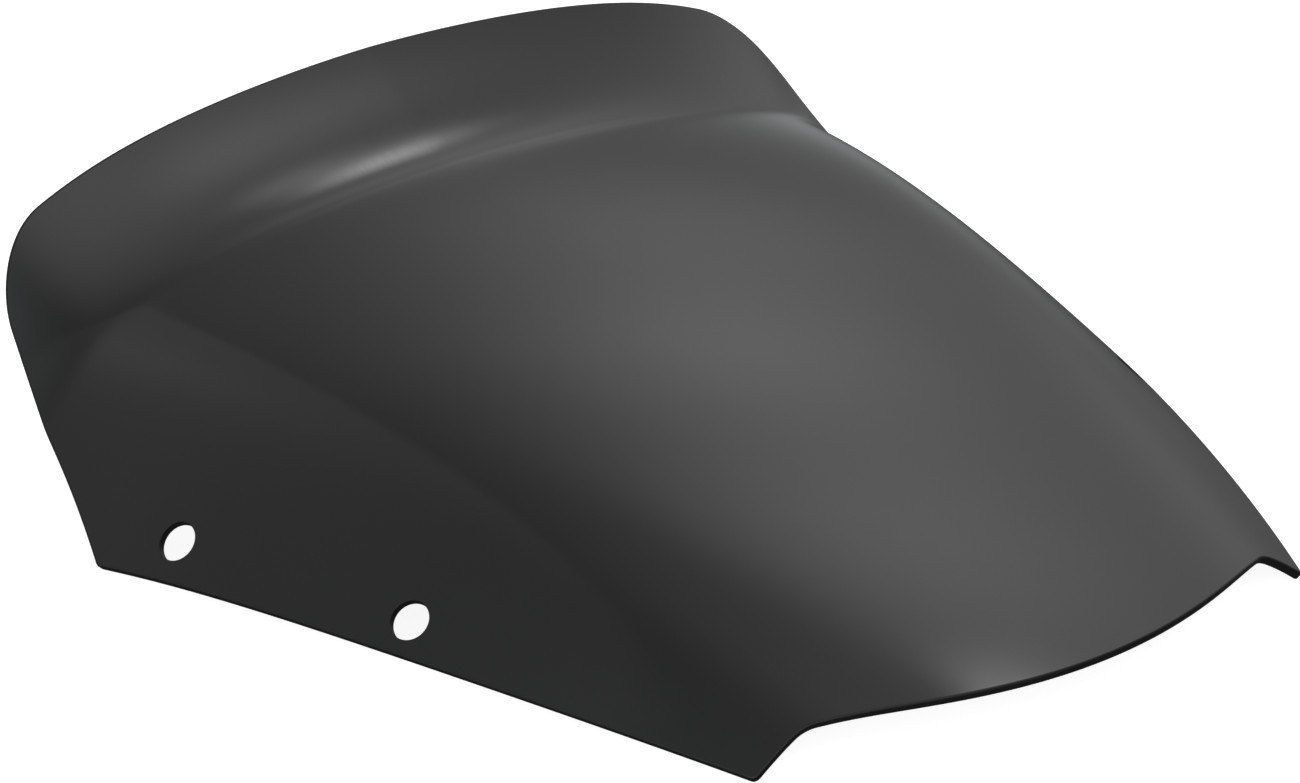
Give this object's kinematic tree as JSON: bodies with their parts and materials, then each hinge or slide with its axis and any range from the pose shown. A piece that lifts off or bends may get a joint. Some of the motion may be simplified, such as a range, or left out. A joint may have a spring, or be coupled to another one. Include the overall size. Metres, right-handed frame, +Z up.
{
  "type": "windshield screen",
  "caption": "Low hood-shaped motorcycle windshield screen in dark smoke acrylic, with sloping side walls, an upswept rear lip and drilled mounting holes.",
  "frame": {"origin": "on the surface the screen rests on, under the middle of its length and width", "axes": "+Z up, +Y from the nose towards the rider, X across; the screen is the same on both sides of X = 0"},
  "size_m": [0.37, 0.362, 0.0932],
  "materials": {
    "smoke_acrylic": "gloss"
  },
  "bodies": {
    "root": {"screen": "smoke_acrylic"}
  },
  "joints": []
}
